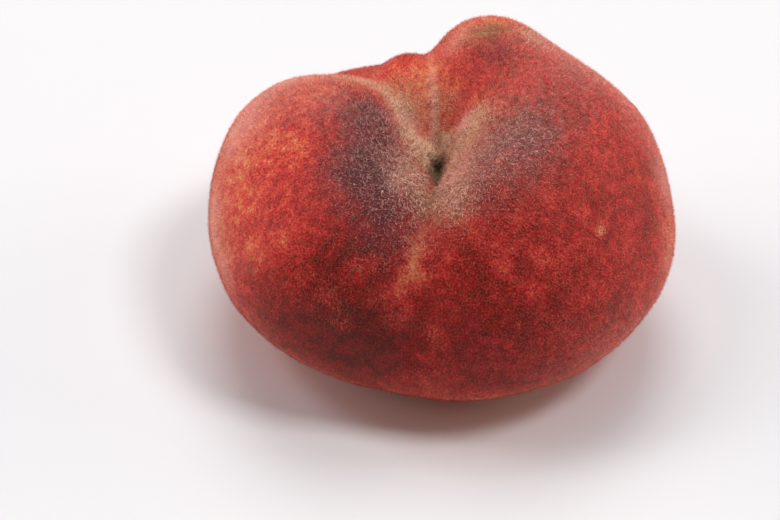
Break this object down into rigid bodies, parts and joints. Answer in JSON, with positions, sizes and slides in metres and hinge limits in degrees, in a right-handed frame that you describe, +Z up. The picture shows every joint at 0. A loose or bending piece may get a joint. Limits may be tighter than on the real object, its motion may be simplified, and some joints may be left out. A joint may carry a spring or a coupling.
{
  "type": "flat peach",
  "caption": "Flat peach as picked, with a deep stem pit, a suture cleft, a shallow blossom dimple and downy red skin, lying on three low points.",
  "frame": {"origin": "under the middle of the fruit's box, on the surface that it lies on", "axes": "+Z up along the stem pit's axis, +X across the fruit's greatest width, +Y towards the side where the suture cleft runs"},
  "size_m": [0.0688, 0.06, 0.0427],
  "materials": {
    "peach_skin": "dull red skin under short pale down"
  },
  "bodies": {
    "root": {"peach": "peach_skin"}
  },
  "joints": []
}
